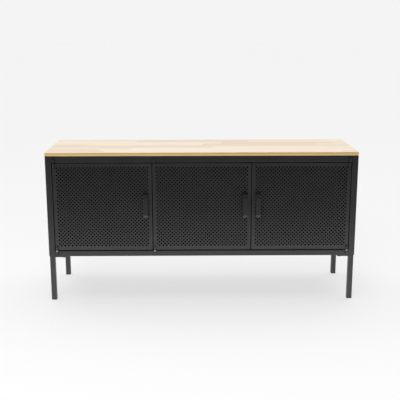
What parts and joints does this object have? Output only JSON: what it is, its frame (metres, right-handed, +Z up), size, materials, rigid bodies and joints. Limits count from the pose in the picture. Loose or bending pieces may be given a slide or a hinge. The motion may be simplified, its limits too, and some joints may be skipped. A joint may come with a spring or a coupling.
{
  "type": "tv stand with doors",
  "caption": "Low black steel media cabinet on square legs, with a pale wooden top and perforated doors with bow handles, each on side hinges.",
  "frame": {"origin": "on the floor, under the centre of the whole stand's box, handles included", "axes": "+X to the stand's right seen from the front, along its length; +Y from the doors to the back; +Z up"},
  "size_m": [1.2, 0.377, 0.59],
  "materials": {
    "black_powder_coat": "satin powder coat, finely textured",
    "top_board": "pale strip-laminated wood, matt lacquer, golden edges",
    "zinc_plate": "bright zinc plate",
    "black_screws": "black oxide",
    "black_plastic": "moulded, matt"
  },
  "bodies": {
    "cabinet": {"left_side_panel": "black_powder_coat", "right_side_panel": "black_powder_coat", "upper_rail": "black_powder_coat", "lower_rail": "black_powder_coat", "top_deck": "black_powder_coat", "bottom_deck": "black_powder_coat", "top_back_strip": "black_powder_coat", "bottom_back_strip": "black_powder_coat", "left_divider": "black_powder_coat", "right_divider": "black_powder_coat", "left_back_panel": "black_powder_coat", "middle_back_panel": "black_powder_coat", "right_back_panel": "black_powder_coat", "cable_grommets": "black_plastic", "back_panel_screws": "black_screws", "wooden_top": "top_board", "top_screws": "zinc_plate", "front_left_leg": "black_powder_coat", "front_right_leg": "black_powder_coat", "back_left_leg": "black_powder_coat", "back_right_leg": "black_powder_coat", "foot_caps": "black_plastic", "leg_screws": "zinc_plate", "leg_weld_nuts": "zinc_plate", "rail_hinge_barrels": "black_powder_coat", "hinge_pins": "zinc_plate", "hinge_washers": "zinc_plate", "magnetic_catches": "black_plastic", "catch_screws": "zinc_plate"},
    "left_door": {"left_door_panel": "black_powder_coat", "left_door_handle": "black_powder_coat", "left_door_handle_screws": "zinc_plate", "left_door_hinge_barrels": "black_powder_coat", "left_door_strike": "black_powder_coat"},
    "middle_door": {"middle_door_panel": "black_powder_coat", "middle_door_handle": "black_powder_coat", "middle_door_handle_screws": "zinc_plate", "middle_door_hinge_barrels": "black_powder_coat", "middle_door_strike": "black_powder_coat"},
    "right_door": {"right_door_panel": "black_powder_coat", "right_door_handle": "black_powder_coat", "right_door_handle_screws": "zinc_plate", "right_door_hinge_barrels": "black_powder_coat", "right_door_strike": "black_powder_coat"}
  },
  "joints": [
    {"name": "left_door_hinge", "type": "hinge", "parent": "cabinet", "child": "left_door", "pos_m": [-0.5675, -0.166, 0.3775], "axis": [0, 0, -1], "range_deg": [0, 110]},
    {"name": "middle_door_hinge", "type": "hinge", "parent": "cabinet", "child": "middle_door", "pos_m": [-0.18433, -0.166, 0.3775], "axis": [0, 0, -1], "range_deg": [0, 110]},
    {"name": "right_door_hinge", "type": "hinge", "parent": "cabinet", "child": "right_door", "pos_m": [0.5675, -0.166, 0.3775], "axis": [0, 0, 1], "range_deg": [0, 110]}
  ]
}
